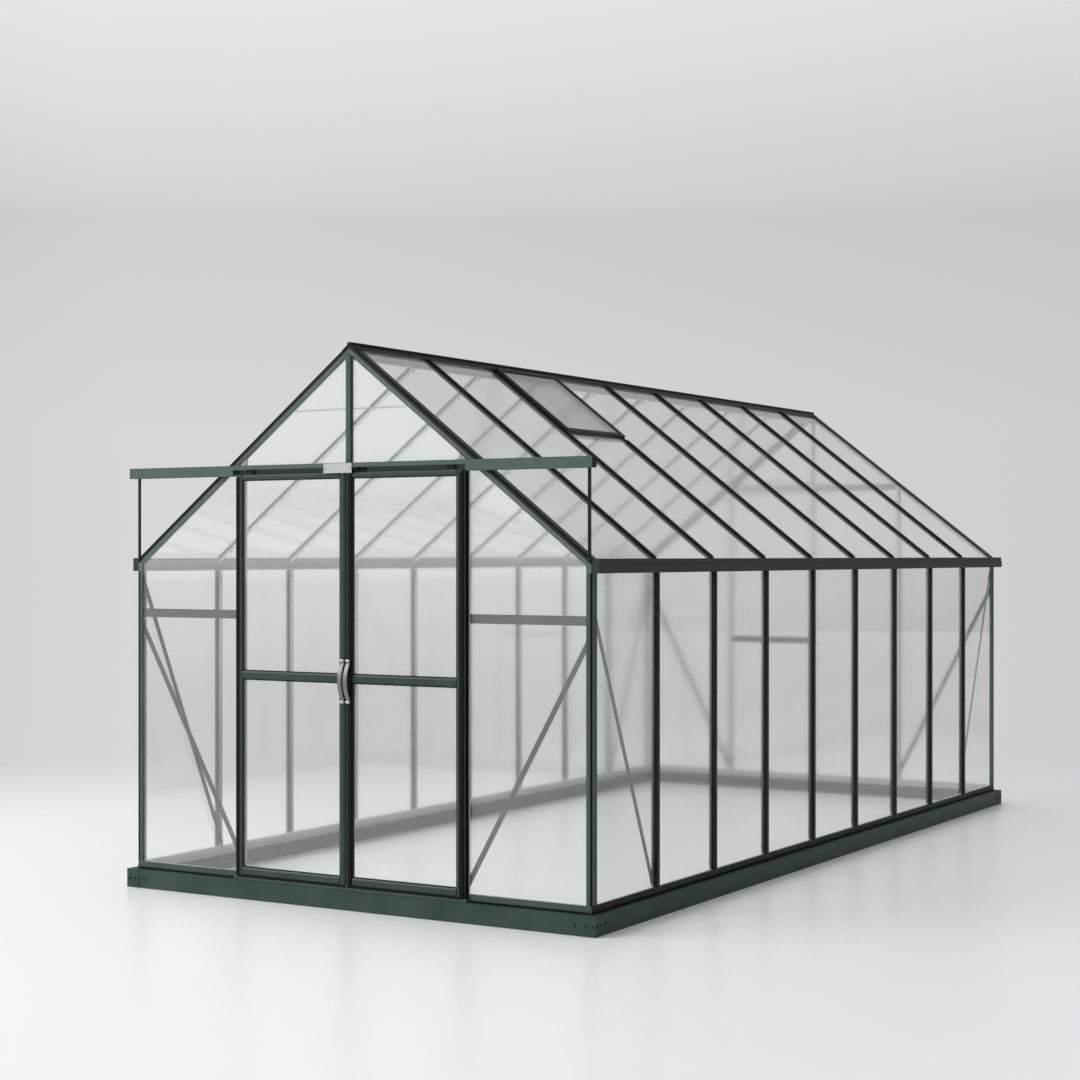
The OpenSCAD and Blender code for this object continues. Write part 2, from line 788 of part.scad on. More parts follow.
// Frame of the closed roof vent, laid on the caps of its two bars
module vent_frame() {
    vent_w = bay_pitch - 2 * pane_play;
    color(bar_green) right_slope() translate([vent_top, vent_y0 + pane_play, cap_t]) difference() {
        cube([vent_len, vent_w, vent_t]);
        translate([vent_rail, vent_rail, -vent_t])
            cube([vent_len - 2 * vent_rail, vent_w - 2 * vent_rail, 3 * vent_t]);
        translate([vent_rail - vent_rebate, vent_rail - vent_rebate, vent_t / 2])
            cube([vent_len - 2 * (vent_rail - vent_rebate), vent_w - 2 * (vent_rail - vent_rebate), vent_t]);
    }
}

// Pane laid in the vent's rebate
module vent_glass() {
    edge = vent_rail - vent_rebate + pane_play / 2;
    vent_w = bay_pitch - 2 * pane_play;
    color(glass_tint) right_slope()
        translate([vent_top + edge, vent_y0 + pane_play + edge, cap_t + vent_t / 2])
            cube([vent_len - 2 * edge, vent_w - 2 * edge, glass_t]);
}

// Cross bar under the vent's lower edge
module vent_sill() {
    color(bar_green) right_slope() union() {
        translate([vent_sill_x, vent_y0 + bar_web / 2, -vent_sill_d])
            cube([vent_rail, bay_pitch - bar_web, vent_sill_d]);
        translate([vent_sill_x, vent_y0 + bar_face / 2, 0]) cube([vent_rail, bay_pitch - bar_face, cap_t]);
    }
}

// Distances from a bay's two bars to the edges of its pane, larger beside a gable
function pane_start(i) = bar_y(i) + (i == 0 ? pane_corner : pane_edge);
function pane_end(i) = bar_y(i + 1) - (i == side_bays - 1 ? pane_corner : pane_edge);

// Panes of the right wall
module wall_panes() {
    for (i = [0:side_bays - 1]) translate([half_w - glass_t, pane_start(i), sill_top])
        cube([glass_t, pane_end(i) - pane_start(i), gutter_z - sill_top]);
}

// Panes of the right slope, with a short one below the vent where there is one
module roof_panes(vent) {
    top = ridge_web + pane_play;
    vent_foot = vent_sill_x + vent_rail;
    right_slope() for (i = [0:side_bays - 1]) {
        start = vent && i == vent_bay - 1 ? vent_foot : top;
        translate([start, pane_start(i), -glass_t])
            cube([slope_len + glass_drip - start, pane_end(i) - pane_start(i), glass_t]);
    }
}

module left_wall_glass() { color(glass_tint) mirror([1, 0, 0]) wall_panes(); }

module right_wall_glass() { color(glass_tint) wall_panes(); }

module left_roof_glass() { color(glass_tint) mirror([1, 0, 0]) roof_panes(false); }

module right_roof_glass() { color(glass_tint) roof_panes(true); }

// Panes of the front gable beside and above the doors
module front_glass() {
    above_z = track_z + track_h / 2 + pane_edge;
    front_y = -half_l + seat_play;
    color(glass_tint) both_sides() {
        gable_pane(door_post_x + pane_edge, half_w - pane_corner, sill_top, front_y);
        gable_pane(pane_edge, door_post_x - pane_edge, above_z, front_y);
    }
}

// Panes of the back gable
module back_glass() {
    back_y = half_l - glass_t - seat_play;
    color(glass_tint) both_sides() {
        gable_pane(back_bar_x + pane_edge, half_w - pane_corner, sill_top, back_y);
        gable_pane(pane_edge, back_bar_x - pane_edge, sill_top, back_y);
    }
}

// Slot for a door's glass, seen from the front, over a rectangle of the leaf
module glass_slot(x0, x1, z0, z1, play) {
    translate([x0, -half_l - door_mid - glass_t / 2 - play, z0])
        cube([x1 - x0, glass_t + 2 * play, z1 - z0]);
}

// Section of a stile or rail with bevelled front edges: X across its face, Y from the back of the leaf
module leaf_section(face) {
    polygon([[0, 0], [face, 0], [face, door_t - door_bevel_d], [face - door_bevel_w, door_t],
        [door_bevel_w, door_t], [0, door_t - door_bevel_d]]);
}

// Two upright stiles of the right leaf
module door_stiles() {
    color(frame_green) difference() {
        for (x = [door_x0, door_x1 - stile_w]) translate([x, -half_l - door_back, door_z0])
            mirror([0, 1, 0]) linear_extrude(door_z1 - door_z0) leaf_section(stile_w);
        glass_slot(door_x0 + stile_w - door_groove, door_x1 - stile_w + door_groove,
            door_z0 + door_bottom_h - door_groove, door_z1 - door_top_h + door_groove, groove_play);
    }
}

// Bottom, middle and top rails of the right leaf
module door_rails() {
    rails = [[door_z0, door_bottom_h], [door_mid_z, door_mid_h], [door_z1 - door_top_h, door_top_h]];
    x0 = door_x0 + stile_w;
    x1 = door_x1 - stile_w;
    color(frame_green) difference() {
        for (rail = rails) translate([x0, -half_l - door_back, rail[0]])
            rotate([90, 0, 90]) linear_extrude(x1 - x0) rotate(90) leaf_section(rail[1]);
        for (light = door_lights)
            glass_slot(-far / 2, far / 2, light[0] - door_groove, light[1] + door_groove, groove_play);
    }
}

// Two panes of the right leaf
module door_panes() {
    bite = door_groove - groove_end;
    color(glass_tint) for (light = door_lights)
        glass_slot(door_x0 + stile_w - bite, door_x1 - stile_w + bite, light[0] - bite, light[1] + bite, 0);
}

// Bow handle on the meeting stile of the right leaf: a flat strap bent to an arc between two feet
module door_handle() {
    rise = handle_reach + handle_t / 2;
    bow_r = (pow(handle_span / 2, 2) + pow(rise, 2)) / (2 * rise);
    color(chrome) translate([door_x0 + handle_in - handle_w / 2, -half_l - door_front, handle_z]) union() {
        intersection() {
            translate([0, bow_r - rise, 0]) rotate([0, 90, 0]) difference() {
                cylinder(r = bow_r + handle_t / 2, h = handle_w);
                translate([0, 0, -handle_w]) cylinder(r = bow_r - handle_t / 2, h = 3 * handle_w);
            }
            translate([-handle_w, -bow_r, -bow_r]) cube([3 * handle_w, bow_r, 2 * bow_r]);
        }
        for (end = [-1, 1]) translate([0, -handle_foot_t, (end * handle_span - handle_foot) / 2])
            cube([handle_w, handle_foot_t, handle_foot]);
    }
}

// Rollers with hangers on the top rail, and the guide shoe under the bottom rail, of the right leaf
module door_rollers() {
    hanger_top = roller_z + hanger_rise;
    color(nylon_grey) {
        for (x = [door_x0 + roller_in, door_x1 - roller_in]) {
            translate([x, -half_l - roller_back, roller_z]) rotate([90, 0, 0])
                cylinder(d = roller_d, h = roller_w);
            translate([x, -half_l - roller_back, roller_z]) rotate([90, 0, 0])
                cylinder(d = roller_pin, h = hanger_back - roller_back);
            translate([x - hanger_w / 2, -half_l - hanger_back - hanger_t, door_z1])
                cube([hanger_w, hanger_t, hanger_top - door_z1]);
        }
        translate([door_x0 + stile_w - shoe_len, -half_l - door_mid - shoe_t / 2, door_z0 - guide_h])
            cube([shoe_len, shoe_t, guide_h]);
    }
}

module left_door_stiles() { mirror([1, 0, 0]) door_stiles(); }

module left_door_rails() { mirror([1, 0, 0]) door_rails(); }

module left_door_glass() { mirror([1, 0, 0]) door_panes(); }

module left_door_handle() { mirror([1, 0, 0]) door_handle(); }

module left_door_rollers() { mirror([1, 0, 0]) door_rollers(); }

module right_door_stiles() { door_stiles(); }

module right_door_rails() { door_rails(); }

module right_door_glass() { door_panes(); }

module right_door_handle() { door_handle(); }

module right_door_rollers() { door_rollers(); }

base_ends();
base_sides();
base_corners();
base_splices();
end_sills();
side_sills();
corner_posts();
wall_bars();
gutters();
gutter_ends();
gable_rafters();
ridge_beam();
roof_bars();
back_bars();
back_rails();
door_posts();
door_seals();
door_lintel();
front_gable_bar();
front_mid_rails();
wall_braces();
door_threshold();
door_track();
track_end_caps();
track_stays();
header_plate();
vent_frame();
vent_glass();
vent_sill();
left_wall_glass();
right_wall_glass();
left_roof_glass();
right_roof_glass();
front_glass();
back_glass();
left_door_stiles();
left_door_rails();
left_door_glass();
left_door_handle();
left_door_rollers();
right_door_stiles();
right_door_rails();
right_door_glass();
right_door_handle();
right_door_rollers();
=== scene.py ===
import math

import bmesh
import bpy
from mathutils import Matrix, Vector


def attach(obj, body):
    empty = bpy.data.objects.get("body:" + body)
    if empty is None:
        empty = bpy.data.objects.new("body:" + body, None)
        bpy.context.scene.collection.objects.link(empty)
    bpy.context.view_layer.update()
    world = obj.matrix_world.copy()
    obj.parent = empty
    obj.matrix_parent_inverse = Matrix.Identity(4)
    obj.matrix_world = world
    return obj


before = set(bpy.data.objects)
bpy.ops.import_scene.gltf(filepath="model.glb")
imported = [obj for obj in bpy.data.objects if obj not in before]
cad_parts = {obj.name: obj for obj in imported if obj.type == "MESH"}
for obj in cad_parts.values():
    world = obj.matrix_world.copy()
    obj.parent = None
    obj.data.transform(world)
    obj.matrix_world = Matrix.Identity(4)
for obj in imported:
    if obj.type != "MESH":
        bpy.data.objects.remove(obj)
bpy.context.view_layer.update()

# Plinth: pressed aluminium channels stand on the ground under the four walls, powder coated dark green.
# Folded covers wrap the corners, and a plate behind each side joins its two lengths.
# Hex bolts with washers hold the covers and the plates to the channels.
half_width, half_length, eave_line = 1.270, 2.7675, 1.620
pitch = math.radians(38.0)
ridge_line = eave_line + half_width * math.tan(pitch)
plinth_green = (0.034, 0.064, 0.050, 1)
plinth_face, cover_face, plinth_bolt_z = 0.044, 0.046, 0.046
cover_bolts, channel_bolt, splice_y, splice_bolts = (0.016, 0.050), 0.104, 0.960, (-0.075, -0.030, 0.030, 0.075)
plinth_bolt = {"Across flats": 0.010, "Head height": 0.0040, "Washer": 0.017, "Washer height": 0.0012}
splash_grey, splash_reach = (0.30, 0.29, 0.26, 1), 0.16
cloud_span, glass_line, sill_top = (0.3, 0.7), (0.001, 0.004), (0.130, 0.140)
low_shade_reach, low_shade_foot, peel_scale, peel_depth = (0.25, 1.25), 0.30, 620.0, 0.0003


def put(tree, kind, inputs=None, **settings):
    made = tree.nodes.new(kind)
    for key, value in settings.items():
        setattr(made, key, value)
    for key, value in (inputs or {}).items():
        if isinstance(value, bpy.types.NodeSocket):
            tree.links.new(value, made.inputs[key])
        else:
            made.inputs[key].default_value = value
    return made


def start_group(name, kind, inputs, outputs):
    tree = bpy.data.node_groups.new(name, kind)
    for title, socket in inputs:
        tree.interface.new_socket(title, in_out="INPUT", socket_type="NodeSocket" + socket)
    for title, socket in outputs:
        tree.interface.new_socket(title, in_out="OUTPUT", socket_type="NodeSocket" + socket)
    return tree, put(tree, "NodeGroupInput").outputs, put(tree, "NodeGroupOutput").inputs


def sum_up(tree, operation, first, second):
    return put(tree, "ShaderNodeMath", {0: first, 1: second}, operation=operation).outputs[0]


def spread(tree, value, low, high, to_low, to_high):
    return put(tree, "ShaderNodeMapRange", {"Value": value, "From Min": low, "From Max": high, "To Min": to_low,
                                            "To Max": to_high}).outputs[0]


def cloud(tree, scale, detail, stretch=(1, 1, 1)):
    place = put(tree, "ShaderNodeTexCoord").outputs["Object"]
    turned = put(tree, "ShaderNodeMapping", {"Vector": place, "Scale": stretch}).outputs[0]
    return put(tree, "ShaderNodeTexNoise", {"Vector": turned, "Scale": scale, "Detail": detail}).outputs["Fac"]


def place_on(tree):
    return put(tree, "ShaderNodeSeparateXYZ", {0: put(tree, "ShaderNodeTexCoord").outputs["Object"]}).outputs


def unsigned(tree, value):
    return put(tree, "ShaderNodeMath", {0: value}, operation="ABSOLUTE").outputs[0]


def depth_under_roof(tree, place):
    drop = sum_up(tree, "MULTIPLY", sum_up(tree, "SUBTRACT", ridge_line, place["Z"]), math.cos(pitch))
    return sum_up(tree, "SUBTRACT", drop, sum_up(tree, "MULTIPLY", unsigned(tree, place["X"]), math.sin(pitch)))


def blend(tree, share, first, second):
    return put(tree, "ShaderNodeMix", {"Factor": share, 6: first, 7: second}, data_type="RGBA").outputs[2]


def toned(tree, colour, tone):
    return put(tree, "ShaderNodeVectorMath", {0: colour, "Scale": tone}, operation="SCALE").outputs[0]


powder_coat, given, made = start_group(
    "powder_coat", "ShaderNodeTree",
    [("Coat", "Color"), ("Inner coat", "Color"), ("Roughness", "Float"), ("Mottle", "Float"), ("Splash", "Float")],
    [("Color", "Color"), ("Roughness", "Float"), ("Height", "Float")])
patches = cloud(powder_coat, 5.0, 4.0)
streaks = cloud(powder_coat, 3.0, 3.0, (9, 9, 0.6))
place = place_on(powder_coat)
inside_walls = sum_up(powder_coat, "MINIMUM",
                      sum_up(powder_coat, "SUBTRACT", half_width, unsigned(powder_coat, place["X"])),
                      sum_up(powder_coat, "SUBTRACT", half_length, unsigned(powder_coat, place["Y"])))
indoors = spread(powder_coat, sum_up(powder_coat, "MINIMUM", inside_walls, depth_under_roof(powder_coat, place)),
                 *glass_line, 0.0, 1.0)
# Painted shade: inside the glass the inner coat is darkened towards the bottom, down to the top of the sills.
low_painted_shade = sum_up(powder_coat, "MAXIMUM", spread(powder_coat, place["Z"], *sill_top, 1.0, 0.0),
                spread(powder_coat, place["Z"], *low_shade_reach, low_shade_foot, 1.0))
coat = blend(powder_coat, indoors, given["Coat"], toned(powder_coat, given["Inner coat"], low_painted_shade))
splash = sum_up(powder_coat, "MULTIPLY", spread(powder_coat, place["Z"], 0.0, splash_reach, 1.0, 0.0),
                sum_up(powder_coat, "MULTIPLY", spread(powder_coat, patches, 0.35, 0.7, 0.2, 1.0), given["Splash"]))
shade = sum_up(powder_coat, "MULTIPLY", given["Mottle"],
               sum_up(powder_coat, "ADD", spread(powder_coat, patches, *cloud_span, -0.6, 0.6),
                      spread(powder_coat, streaks, *cloud_span, -0.4, 0.4)))
mottled = toned(powder_coat, coat, sum_up(powder_coat, "ADD", shade, 1.0))
powder_coat.links.new(blend(powder_coat, splash, mottled, splash_grey), made["Color"])
powder_coat.links.new(sum_up(powder_coat, "ADD", given["Roughness"], sum_up(
    powder_coat, "ADD", sum_up(powder_coat, "MULTIPLY", shade, 0.5),
    sum_up(powder_coat, "MULTIPLY", splash, 0.3))), made["Roughness"])
powder_coat.links.new(cloud(powder_coat, peel_scale, 1.5), made["Height"])


def start_finish(name):
    finish = bpy.data.materials.new(name)
    finish.use_nodes = True
    return finish, finish.node_tree, finish.node_tree.nodes["Principled BSDF"]


def coat_finish(name, colour, roughness, mottle=0.14, splash=0.0, peel=0.10, shine=0.2, inner=None):
    finish, tree, shader = start_finish(name)
    coat = put(tree, "ShaderNodeGroup", {"Coat": colour, "Inner coat": inner or colour, "Roughness": roughness,
                                         "Mottle": mottle, "Splash": splash}, node_tree=powder_coat, name="coat")
    skin = put(tree, "ShaderNodeBump", {"Strength": peel, "Distance": peel_depth, "Height": coat.outputs["Height"]})
    shader.inputs["Specular IOR Level"].default_value = shine
    for socket, source in (("Base Color", coat.outputs["Color"]), ("Roughness", coat.outputs["Roughness"]),
                           ("Normal", skin.outputs[0])):
        tree.links.new(source, shader.inputs[socket])
    return finish


def paint(finish, *names):
    for name in names:
        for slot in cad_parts[name].material_slots:
            slot.material = finish


bolt_heads, given, made = start_group(
    "bolt_heads", "GeometryNodeTree",
    [("Places", "Geometry"), ("Across flats", "Float"), ("Head height", "Float"), ("Washer", "Float"),
     ("Washer height", "Float"), ("Finish", "Material")], [("Heads", "Geometry")])


def lifted(tree, shape, height):
    return put(tree, "GeometryNodeTransform", {"Geometry": shape, "Translation": put(
        tree, "ShaderNodeCombineXYZ", {"Z": height}).outputs[0]}).outputs[0]


def closed_off(tree, shape, finish, result):
    solid = put(tree, "GeometryNodeRealizeInstances", {"Geometry": shape})
    done = put(tree, "GeometryNodeSetMaterial", {"Geometry": solid.outputs[0], "Material": finish})
    tree.links.new(done.outputs[0], result)


def stood_on_points(tree, places, shape, finish, result):
    facing = put(tree, "GeometryNodeInputNamedAttribute", {"Name": "facing"}, data_type="FLOAT_VECTOR")
    upright = put(tree, "FunctionNodeAlignRotationToVector", {"Vector": facing.outputs[0]}, axis="Z")
    heads = put(tree, "GeometryNodeInstanceOnPoints", {
        "Points": places, "Instance": shape, "Rotation": upright.outputs[0]})
    closed_off(tree, heads.outputs[0], finish, result)


crown_wide, crown_high, washer_sides = 0.78, 0.2, 16
flat = sum_up(bolt_heads, "MULTIPLY", given["Across flats"], 1 / math.sqrt(3))
hexagon = put(bolt_heads, "GeometryNodeMeshCylinder", {"Vertices": 6, "Radius": flat, "Depth": given["Head height"]})
crown = put(bolt_heads, "GeometryNodeMeshCone", {
    "Vertices": 6, "Radius Bottom": flat, "Radius Top": sum_up(bolt_heads, "MULTIPLY", flat, crown_wide),
    "Depth": sum_up(bolt_heads, "MULTIPLY", given["Head height"], crown_high)})
washer = put(bolt_heads, "GeometryNodeMeshCylinder", {
    "Vertices": washer_sides, "Radius": sum_up(bolt_heads, "MULTIPLY", given["Washer"], 0.5),
    "Depth": given["Washer height"]})
whole = put(bolt_heads, "GeometryNodeJoinGeometry")
for shape, rise in ((washer.outputs["Mesh"], sum_up(bolt_heads, "MULTIPLY", given["Washer height"], 0.5)),
                    (hexagon.outputs["Mesh"], sum_up(bolt_heads, "ADD", given["Washer height"], sum_up(
                        bolt_heads, "MULTIPLY", given["Head height"], 0.5))),
                    (crown.outputs["Mesh"], sum_up(bolt_heads, "ADD", given["Washer height"], given["Head height"]))):
    bolt_heads.links.new(lifted(bolt_heads, shape, rise), whole.inputs[0])
stood_on_points(bolt_heads, given["Places"], whole.outputs[0], given["Finish"], made["Heads"])


def set_out(name, body, tree, sizes, points, ways=None):
    """Lays a tree's pieces at points that face ways, or along runs of two points, as one plain mesh."""
    runs = [] if ways else [(i, i + 1) for i in range(0, len(points), 2)]
    marks = bpy.data.meshes.new(name + "_marks")
    marks.from_pydata(points, runs, [])
    if ways:
        marks.attributes.new("facing", "FLOAT_VECTOR", "POINT").data.foreach_set(
            "vector", [number for way in ways for number in way])
    piece = bpy.data.objects.new(name, marks)
    bpy.context.scene.collection.objects.link(piece)
    grow = piece.modifiers.new(name, "NODES")
    grow.node_group = tree
    for item in tree.interface.items_tree:
        if item.in_out == "INPUT" and item.name in sizes:
            grow[item.identifier] = sizes[item.name]
    bpy.context.view_layer.update()
    shape = bpy.data.meshes.new_from_object(piece.evaluated_get(bpy.context.evaluated_depsgraph_get()))
    piece.modifiers.remove(grow)
    piece.data = shape
    bpy.data.meshes.remove(marks)
    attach(piece, body)


indoor_grey = (0.42, 0.44, 0.43, 1)
plinth_coat = coat_finish("plinth_coat", plinth_green, roughness=0.42, mottle=0.16, splash=0.10, peel=0.12,
                          shine=0.12, inner=indoor_grey)
bolt_coat = coat_finish("bolt_coat", (0.022, 0.038, 0.031, 1), roughness=0.36, mottle=0.20, splash=0.10, peel=0.05)
paint(plinth_coat, "base_ends", "base_sides", "base_corners", "base_splices")
corner_x, corner_y = half_width + cover_face, half_length + cover_face
places, ways = [], []
for side in (-1, 1):
    for end in (-1, 1):
        for along, out in [(along, cover_face) for along in cover_bolts] + [(channel_bolt, plinth_face)]:
            places += [(side * (corner_x - along), end * (half_length + out), plinth_bolt_z),
                       (side * (half_width + out), end * (corner_y - along), plinth_bolt_z)]
            ways += [(0, end, 0), (side, 0, 0)]
    for along in splice_bolts:
        places.append((side * (half_width + plinth_face), splice_y + along, plinth_bolt_z))
        ways.append((side, 0, 0))
set_out("plinth_bolts", "greenhouse", bolt_heads, {**plinth_bolt, "Finish": bolt_coat}, places, ways)

# Sills: extruded aluminium along the top of the plinth, in the frame's green at the gables and at the sides a darker
# green that is partly painted shade.
# Their nose sheds water over the plinth, and their flat top takes the feet of the panes and the bars.
frame_green = (0.062, 0.090, 0.078, 1)
# The bars' near-black green is the coat's green deepened by painted shade, for the faces that the light reaches less.
shaded_bar_green, bar_inner = (0.0085, 0.0115, 0.0105, 1), (0.58, 0.60, 0.59, 1)
frame_coat = coat_finish("frame_coat", frame_green, roughness=0.36, splash=0.10, inner=indoor_grey)
shaded_bar_coat = coat_finish("shaded_bar_coat", shaded_bar_green, roughness=0.42, splash=0.06, shine=0.18, inner=bar_inner)
paint(frame_coat, "end_sills")
paint(shaded_bar_coat, "side_sills")

# Corner posts and wall bars: extruded aluminium, the bars powder coated dark green and deepened almost to black
# outside by painted shade.
# Each bar has a cap outside the glass, a paler web and bead inside it, and a nut at both ends of the bead.
# Black rubber beads close the joints along the caps, fill the groove down each corner and seal the foot of the sills.
bar_depth, cap_half, foot_z, head_z = 0.018, 0.014, 0.165, 1.528
bead_out, bead_radius, bead_ends = 0.0008, 0.0016, (0.126, 1.561)
groove_out, groove_radius = 0.0035, 0.0050
sill_out, sill_foot, sill_radius, doorway_side = 0.0085, 0.0945, 0.0042, 0.666
nut = {"Across flats": 0.010, "Head height": 0.0050, "Washer": 0.0155, "Washer height": 0.0012}
bay, bays = 0.615, 9
bar_lines = [-half_length + bay * i for i in range(1, bays)]
paint(frame_coat, "corner_posts")
paint(shaded_bar_coat, "wall_bars")


def plain_finish(name, colour, roughness, metallic=0.0, scale=40.0, change=0.15, shine=0.5):
    finish, tree, shader = start_finish(name)
    shader.inputs["Metallic"].default_value = metallic
    shader.inputs["Specular IOR Level"].default_value = shine
    grain = cloud(tree, scale, 3.0)
    tone = spread(tree, grain, *cloud_span, 1 - change, 1 + change)
    tree.links.new(toned(tree, colour[:3], tone), shader.inputs["Base Color"])
    tree.links.new(spread(tree, grain, *cloud_span, roughness * (1 - change), roughness * (1 + change)),
                   shader.inputs["Roughness"])
    return finish


def swept(tree, line, section, finish, result):
    run = put(tree, "GeometryNodeCurveToMesh", {"Curve": line, "Profile Curve": section, "Fill Caps": True})
    closed_off(tree, run.outputs[0], finish, result)


rubber_bead, given, made = start_group(
    "rubber_bead", "GeometryNodeTree",
    [("Runs", "Geometry"), ("Bead radius", "Float"), ("Finish", "Material")], [("Beads", "Geometry")])
line = put(rubber_bead, "GeometryNodeMeshToCurve", {"Mesh": given["Runs"]})
ring = put(rubber_bead, "GeometryNodeCurvePrimitiveCircle", {"Resolution": 8, "Radius": given["Bead radius"]})
swept(rubber_bead, line.outputs[0], ring.outputs[0], given["Finish"], made["Beads"])
seal_rubber = plain_finish("seal_rubber", (0.005, 0.006, 0.006, 1), roughness=0.62, shine=0.12)
nut_grey = plain_finish("nut_grey", (0.26, 0.27, 0.27, 1), roughness=0.45)


def lay_beads(name, radius, runs, body="greenhouse"):
    set_out(name, body, rubber_bead, {"Bead radius": radius, "Finish": seal_rubber}, runs)


runs, places, ways = [], [], []
for side in (-1, 1):
    for y in bar_lines:
        for edge in (-cap_half, cap_half):
            runs += [(side * (half_width + bead_out), y + edge, z) for z in bead_ends]
        for z in (foot_z, head_z):
            places.append((side * (half_width - bar_depth), y, z))
            ways.append((-side, 0, 0))
lay_beads("wall_bar_beads", bead_radius, runs)
set_out("wall_bar_nuts", "greenhouse", bolt_heads, {**nut, "Finish": nut_grey}, places, ways)
runs = [(side * (half_width + groove_out), end * (half_length + groove_out), z)
        for side in (-1, 1) for end in (-1, 1) for z in bead_ends]
lay_beads("corner_post_beads", groove_radius, runs)
runs = [(side * (half_width + sill_out), end * half_length, sill_foot) for side in (-1, 1) for end in (-1, 1)]
runs += [(x, half_length + sill_out, sill_foot) for x in (-half_width, half_width)]
runs += [(side * x, -half_length - sill_out, sill_foot) for side in (-1, 1) for x in (doorway_side, half_width)]
lay_beads("sill_seals", sill_radius, runs)

# Gutters: aluminium troughs along both eaves, which also carry the feet of the roof.
# A flat plate closes each front end, held by two pop rivets, and the back end runs on past the gable to drain.
rivet = {"Head width": 0.0075, "Head height": 0.0016}
end_rivet_x, end_rivet_z, end_plate = 1.295, (1.576, 1.610), 0.003
dome_heads, given, made = start_group(
    "dome_heads", "GeometryNodeTree",
    [("Places", "Geometry"), ("Head width", "Float"), ("Head height", "Float"), ("Finish", "Material")],
    [("Heads", "Geometry")])
ball = put(dome_heads, "GeometryNodeMeshUVSphere", {"Segments": 12, "Rings": 6, "Radius": 1.0})
wide = sum_up(dome_heads, "MULTIPLY", given["Head width"], 0.5)
dome = put(dome_heads, "GeometryNodeTransform", {"Geometry": ball.outputs["Mesh"], "Scale": put(
    dome_heads, "ShaderNodeCombineXYZ", {"X": wide, "Y": wide, "Z": given["Head height"]}).outputs[0]})
stood_on_points(dome_heads, given["Places"], dome.outputs[0], given["Finish"], made["Heads"])
gutter_coat = coat_finish("gutter_coat", (0.028, 0.038, 0.034, 1), roughness=0.40, inner=(0.66, 0.68, 0.67, 1))
paint(gutter_coat, "gutters", "gutter_ends")
places = [(side * end_rivet_x, -half_length - end_plate, z) for side in (-1, 1) for z in end_rivet_z]
set_out("gutter_end_rivets", "greenhouse", dome_heads, {**rivet, "Finish": bolt_coat}, places,
        [(0, -1, 0)] * len(places))

# Rafters, ridge and roof bars: the gable rafters are the frame's green under painted bands, the ridge and the bars
# the dark green deepened by painted shade.
# The bars hang from the ridge and stand in the gutters, held by nuts and covered by a strip clipped on each cap.
# Black rubber beads close the joints along the caps and fill the groove along each rafter.
wing_end, slope_end, vent_end, cap_out = 0.042, 1.604, 0.5875, 0.0055
strip_wide, strip_high, strip_round, wing_gap, vent_gap = 0.020, 0.0075, 0.003, 0.004, 0.020
roof_nuts, groove_ends = (0.085, 1.520), (0.004, 1.612)
rafter_face_at, rafter_highlight_at = (0.001, 0.003), (0.011, 0.013)
rafter_face, rafter_lip_highlight = (0.014, 0.022, 0.019, 1), (0.105, 0.132, 0.120, 1)
lit_left_inner, shaded_right_inner, ridge_blend = (0.72, 0.74, 0.73, 1), (0.16, 0.17, 0.165, 1), (-0.02, 0.02)
vent_bars = (bar_lines[1] + cap_half, bar_lines[2] - cap_half)


def on_slope(side, down, y, out):
    return (side * (down * math.cos(pitch) + out * math.sin(pitch)), y,
            ridge_line - down * math.sin(pitch) + out * math.cos(pitch))


# Painted bands down each rafter's face by depth under the roof: a near-black top, a dark face and, along the lower
# edge, a painted highlight where the floor's reflection is painted in.
rafter_painted_bands, given, made = start_group(
    "rafter_painted_bands", "ShaderNodeTree", [("Top", "Color"), ("Face", "Color"), ("Lip highlight", "Color")], [("Color", "Color")])
below = depth_under_roof(rafter_painted_bands, place_on(rafter_painted_bands))
upper = blend(rafter_painted_bands, spread(rafter_painted_bands, below, *rafter_face_at, 0.0, 1.0), given["Top"], given["Face"])
rafter_painted_bands.links.new(blend(rafter_painted_bands, spread(rafter_painted_bands, below, *rafter_highlight_at, 0.0, 1.0), upper, given["Lip highlight"]),
                      made["Color"])
rafter_coat = coat_finish("rafter_coat", frame_green, roughness=0.38, inner=indoor_grey)
tree = rafter_coat.node_tree
bands = put(tree, "ShaderNodeGroup", {"Top": shaded_bar_green, "Face": rafter_face, "Lip highlight": rafter_lip_highlight},
            node_tree=rafter_painted_bands)
tree.links.new(bands.outputs["Color"], tree.nodes["coat"].inputs["Coat"])
roof_coat = coat_finish("roof_coat", shaded_bar_green, roughness=0.42, shine=0.18)
tree = roof_coat.node_tree
# Painted light and shade: the bars' inner faces are painted pale on the left slope and dark on the right slope.
on_right = spread(tree, place_on(tree)["X"], *ridge_blend, 0.0, 1.0)
tree.links.new(blend(tree, on_right, lit_left_inner, shaded_right_inner), tree.nodes["coat"].inputs["Inner coat"])
paint(rafter_coat, "gable_rafters")
paint(shaded_bar_coat, "ridge_beam")
paint(roof_coat, "roof_bars")
runs, places, ways = [], [], []
for side in (-1, 1):
    for y in bar_lines:
        for edge in (y - cap_half, y + cap_half):
            top = vent_end if side == 1 and edge in vent_bars else wing_end
            runs += [on_slope(side, down, edge, bead_out) for down in (top, slope_end)]
        for down in roof_nuts:
            places.append(on_slope(side, down, y, -bar_depth))
            ways.append((-side * math.sin(pitch), 0, -math.cos(pitch)))
lay_beads("roof_bar_beads", bead_radius, runs)
cover_strip, given, made = start_group(
    "cover_strip", "GeometryNodeTree",
    [("Runs", "Geometry"), ("Width", "Float"), ("Height", "Float"), ("Rounding", "Float"), ("Finish", "Material")],
    [("Strips", "Geometry")])
line = put(cover_strip, "GeometryNodeMeshToCurve", {"Mesh": given["Runs"]})
